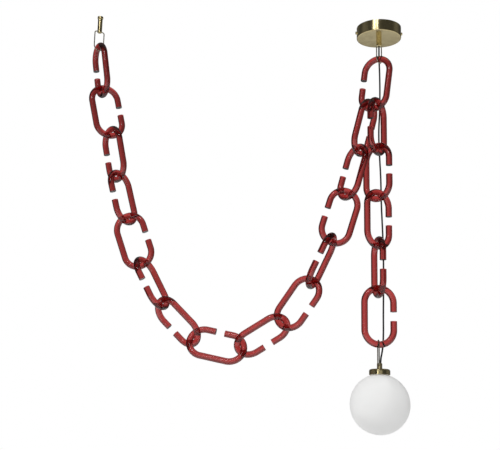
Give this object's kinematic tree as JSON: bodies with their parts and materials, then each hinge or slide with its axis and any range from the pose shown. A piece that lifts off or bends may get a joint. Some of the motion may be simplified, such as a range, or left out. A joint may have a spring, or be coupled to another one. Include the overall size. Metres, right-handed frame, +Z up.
{
  "type": "swag pendant lamp",
  "caption": "Swag pendant lamp: chain of long glass-rod rings, each cut open in one leg, draped from a ceiling hanger to a brass canopy, then down to an opal ball shade with a cord beside it.",
  "frame": {"origin": "centre of the canopy's ceiling face, midway between the strap's two screw holes", "axes": "+Z up, -Y towards the front, +X to the right; the ceiling hanger is on the -X side"},
  "size_m": [0.8655, 0.2313, 1.153],
  "materials": {
    "ruby_glass": "clear deep red, fire polished, with ground cut ends",
    "aged_brass": "polished then darkened, clear lacquer",
    "brass_wire": "pale brass-plated wire",
    "plain_brass": "machined",
    "zinc_steel": "zinc plated",
    "opal_glass": "blown opal, fine matt",
    "bulb_glass": "frosted",
    "bulb_cap": "rolled thread",
    "porcelain": "glazed",
    "black_cord": "matt black sheath",
    "black_nylon": "moulded",
    "lead_sheath": "soft plastic"
  },
  "bodies": {
    "ceiling_fixings": {"canopy_cup": "aged_brass", "ceiling_strap": "zinc_steel", "side_screws": "aged_brass", "canopy_nipple": "plain_brass", "canopy_locknut": "plain_brass", "canopy_stem": "aged_brass", "upper_cord_grip": "black_nylon", "terminal_block": "porcelain", "terminal_screws": "plain_brass", "canopy_leads": "lead_sheath", "upper_wire_loop": "brass_wire", "hanger_sleeve": "aged_brass", "hanger_wire_loop": "brass_wire"},
    "hanging_chain": {"junction_link": "ruby_glass", "power_cord": "black_cord"},
    "swag_link_01": {"swag_link_01": "ruby_glass"},
    "swag_link_02": {"swag_link_02": "ruby_glass"},
    "swag_link_03": {"swag_link_03": "ruby_glass"},
    "swag_link_04": {"swag_link_04": "ruby_glass"},
    "swag_link_05": {"swag_link_05": "ruby_glass"},
    "swag_link_06": {"swag_link_06": "ruby_glass"},
    "swag_link_07": {"swag_link_07": "ruby_glass"},
    "swag_link_08": {"swag_link_08": "ruby_glass"},
    "swag_link_09": {"swag_link_09": "ruby_glass"},
    "swag_link_10": {"swag_link_10": "ruby_glass"},
    "swag_link_11": {"swag_link_11": "ruby_glass"},
    "swag_link_12": {"swag_link_12": "ruby_glass"},
    "swag_link_13": {"swag_link_13": "ruby_glass"},
    "swag_link_14": {"swag_link_14": "ruby_glass"},
    "run_link_2": {"run_link_2": "ruby_glass"},
    "run_link_3": {"run_link_3": "ruby_glass"},
    "run_link_4": {"run_link_4": "ruby_glass"},
    "run_link_5": {"run_link_5": "ruby_glass"},
    "run_link_6": {"run_link_6": "ruby_glass"},
    "lamp": {"lower_wire_loop": "brass_wire", "lamp_stem": "aged_brass", "lower_cord_grip": "black_nylon", "lamp_nipple": "plain_brass", "lamp_locknut": "plain_brass", "lamp_cap": "aged_brass", "gallery_ring": "plain_brass", "lampholder": "porcelain", "lamp_leads": "lead_sheath"},
    "globe": {"globe": "opal_glass"},
    "bulb": {"bulb_base": "bulb_cap", "bulb_envelope": "bulb_glass"}
  },
  "joints": [
    {"name": "chain_swing", "type": "hinge", "parent": "ceiling_fixings", "child": "hanging_chain", "pos_m": [-0.00162, 0, -0.08954], "axis": [0.9873, -0.1352, -0.0829], "range_deg": [-10, 5], "deforming": ["power_cord"]},
    {"name": "swag_link_01_turn", "type": "hinge", "parent": "hanging_chain", "child": "swag_link_01", "pos_m": [-0.77654, 0.10613, -0.03277], "axis": [0.1555, -0.0254, -0.9875], "range_deg": [-15, 15]},
    {"name": "swag_link_02_turn", "type": "hinge", "parent": "hanging_chain", "child": "swag_link_02", "pos_m": [-0.75682, 0.10292, -0.15804], "axis": [0.2167, -0.0347, -0.9756], "range_deg": [-15, 15]},
    {"name": "swag_link_03_turn", "type": "hinge", "parent": "hanging_chain", "child": "swag_link_03", "pos_m": [-0.72936, 0.09853, -0.28164], "axis": [0.2082, -0.0326, -0.9776], "range_deg": [-15, 12]},
    {"name": "swag_link_04_turn", "type": "hinge", "parent": "hanging_chain", "child": "swag_link_04", "pos_m": [-0.70299, 0.09439, -0.4055], "axis": [0.2566, -0.0318, -0.966], "range_deg": [-14, 14]},
    {"name": "swag_link_05_turn", "type": "hinge", "parent": "hanging_chain", "child": "swag_link_05", "pos_m": [-0.67048, 0.09037, -0.52789], "axis": [0.3445, -0.046, -0.9377], "range_deg": [-14, 15]},
    {"name": "swag_link_06_turn", "type": "hinge", "parent": "hanging_chain", "child": "swag_link_06", "pos_m": [-0.62686, 0.08454, -0.64661], "axis": [0.4642, -0.0535, -0.8841], "range_deg": [-8, 15]},
    {"name": "swag_link_07_turn", "type": "hinge", "parent": "hanging_chain", "child": "swag_link_07", "pos_m": [-0.56802, 0.07776, -0.75868], "axis": [0.7063, -0.1142, -0.6987], "range_deg": [-8, 8]},
    {"name": "swag_link_08_turn", "type": "hinge", "parent": "hanging_chain", "child": "swag_link_08", "pos_m": [-0.4789, 0.06335, -0.84684], "axis": [0.9745, -0.1192, -0.1899], "range_deg": [-15, 5]},
    {"name": "swag_link_09_turn", "type": "hinge", "parent": "hanging_chain", "child": "swag_link_09", "pos_m": [-0.35816, 0.04858, -0.87037], "axis": [0.8495, -0.0852, 0.5206], "range_deg": [-10, 15]},
    {"name": "swag_link_10_turn", "type": "hinge", "parent": "hanging_chain", "child": "swag_link_10", "pos_m": [-0.2511, 0.03784, -0.80476], "axis": [0.5733, -0.088, 0.8146], "range_deg": [-15, 10]},
    {"name": "swag_link_11_turn", "type": "hinge", "parent": "hanging_chain", "child": "swag_link_11", "pos_m": [-0.17878, 0.02674, -0.70201], "axis": [0.4186, -0.0547, 0.9065], "range_deg": [-9, 15]},
    {"name": "swag_link_12_turn", "type": "hinge", "parent": "hanging_chain", "child": "swag_link_12", "pos_m": [-0.12573, 0.01981, -0.58712], "axis": [0.3007, -0.0357, 0.9531], "range_deg": [-10, 10]},
    {"name": "swag_link_13_turn", "type": "hinge", "parent": "hanging_chain", "child": "swag_link_13", "pos_m": [-0.08765, 0.0153, -0.46642], "axis": [0.2569, -0.0351, 0.9658], "range_deg": [-10, 9]},
    {"name": "swag_link_14_turn", "type": "hinge", "parent": "hanging_chain", "child": "swag_link_14", "pos_m": [-0.0551, 0.01085, -0.34405], "axis": [0.2155, -0.0303, 0.976], "range_deg": [-3, 3]},
    {"name": "run_link_2_turn", "type": "hinge", "parent": "hanging_chain", "child": "run_link_2", "pos_m": [-0.0033, -0.00996, -0.21985], "axis": [-0.0379, 0.0071, -0.9993], "range_deg": [-3, 2.5]},
    {"name": "run_link_3_turn", "type": "hinge", "parent": "hanging_chain", "child": "run_link_3", "pos_m": [-0.00814, -0.00906, -0.34773], "axis": [0, 0, -1], "range_deg": [-12, 15]},
    {"name": "run_link_4_turn", "type": "hinge", "parent": "hanging_chain", "child": "run_link_4", "pos_m": [-0.00814, -0.00906, -0.47443], "axis": [0, 0, -1], "range_deg": [-10, 15]},
    {"name": "run_link_5_turn", "type": "hinge", "parent": "hanging_chain", "child": "run_link_5", "pos_m": [-0.00814, -0.00906, -0.60113], "axis": [0, 0, -1], "range_deg": [-15, 10]},
    {"name": "run_link_6_turn", "type": "hinge", "parent": "hanging_chain", "child": "run_link_6", "pos_m": [-0.00814, -0.00906, -0.72783], "axis": [0, 0, -1], "range_deg": [-12, 15]},
    {"name": "lamp_swivel", "type": "hinge", "parent": "hanging_chain", "child": "lamp", "pos_m": [-0.00814, -0.00906, -0.904], "axis": [0, 0, -1], "range_deg": [-12, 12]},
    {"name": "globe_unscrew", "type": "hinge", "parent": "lamp", "child": "globe", "pos_m": [-0.00814, -0.00906, -0.934], "axis": [0, 0, 1], "continuous": true},
    {"name": "bulb_unscrew", "type": "hinge", "parent": "lamp", "child": "bulb", "pos_m": [-0.00814, -0.00906, -0.954], "axis": [0, 0, 1], "continuous": true}
  ]
}
